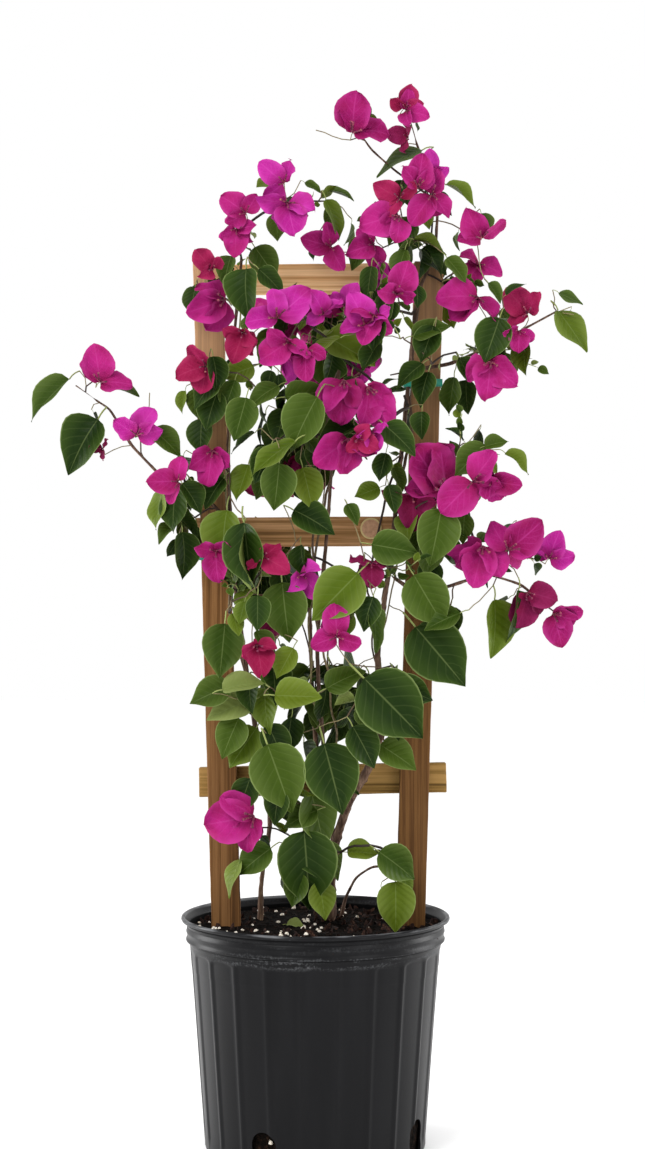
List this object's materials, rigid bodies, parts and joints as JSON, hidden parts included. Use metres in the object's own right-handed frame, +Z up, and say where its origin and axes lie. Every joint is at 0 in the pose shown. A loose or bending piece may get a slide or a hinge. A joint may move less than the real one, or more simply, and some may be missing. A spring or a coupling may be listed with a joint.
{
  "type": "potted bougainvillea bush",
  "caption": "Flowering climbing shrub trained up a fan-shaped wooden ladder trellis in a round black nursery pot, with long shoots reaching out to both sides.",
  "frame": {"origin": "centre of the pot's flat underside", "axes": "+Z up along the pot's axis, +X to the right of the flowering front along the trellis rungs, +Y away from the front"},
  "size_m": [0.582, 0.28, 1.104],
  "materials": {
    "pot_plastic": "black moulded polyethylene, satin with scuffs",
    "potting_mix": "moist dark peat and bark with white perlite",
    "upright_wood": "brown stained sawn softwood",
    "rung_low_wood": "golden sawn softwood with dark grain",
    "rung_middle_wood": "brown stained sawn softwood",
    "rung_top_wood": "pale sawn softwood",
    "tie_plastic": "green plastic tie tape",
    "bark": "thin grey-brown bark, green on young shoots",
    "foliage": "smooth green leaves",
    "blossom": "papery magenta bracts"
  },
  "bodies": {
    "root": {"pot": "pot_plastic", "soil": "potting_mix", "upright_left": "upright_wood", "upright_right": "upright_wood", "rung_low": "rung_low_wood", "rung_middle": "rung_middle_wood", "rung_top": "rung_top_wood", "rung_plug": "rung_top_wood", "tie_right": "tie_plastic", "tie_left": "tie_plastic", "trunk": "bark", "stem_left": "bark", "bough_right": "bark", "bough_left": "bark", "bough_centre": "bark", "bough_back": "bark", "bough_top": "bark", "shoot_top": "bark", "reach_left": "bark", "reach_right_low": "bark", "reach_right_top": "bark", "shoot_low": "bark", "tip_left": "blossom", "tip_right": "blossom", "top_outer": "blossom", "tip_right_high": "foliage", "leaf_left_outer": "foliage", "flower_left": "blossom", "flower_left_inner": "blossom", "tip_right_low": "blossom", "leaf_right_low": "foliage", "foot_left": "blossom", "foot_right": "foliage", "foot_centre": "foliage", "top_middle": "foliage", "top_left": "blossom", "top_right": "blossom", "shoulder_left": "blossom", "shoulder_right": "blossom", "right_spray": "blossom", "upper_right": "blossom", "upper_centre": "blossom", "upper_back": "blossom", "left_column": "foliage", "left_hang": "foliage", "left_middle": "blossom", "right_middle": "blossom", "right_flowers": "blossom", "centre_right": "blossom", "centre_left": "foliage", "centre_back": "foliage", "right_low": "foliage", "right_hang": "foliage", "middle": "foliage", "left_inner": "foliage", "middle_back": "foliage", "lower_left": "foliage", "lower_right": "foliage", "lower_back": "foliage", "low_front": "foliage"}
  },
  "joints": []
}
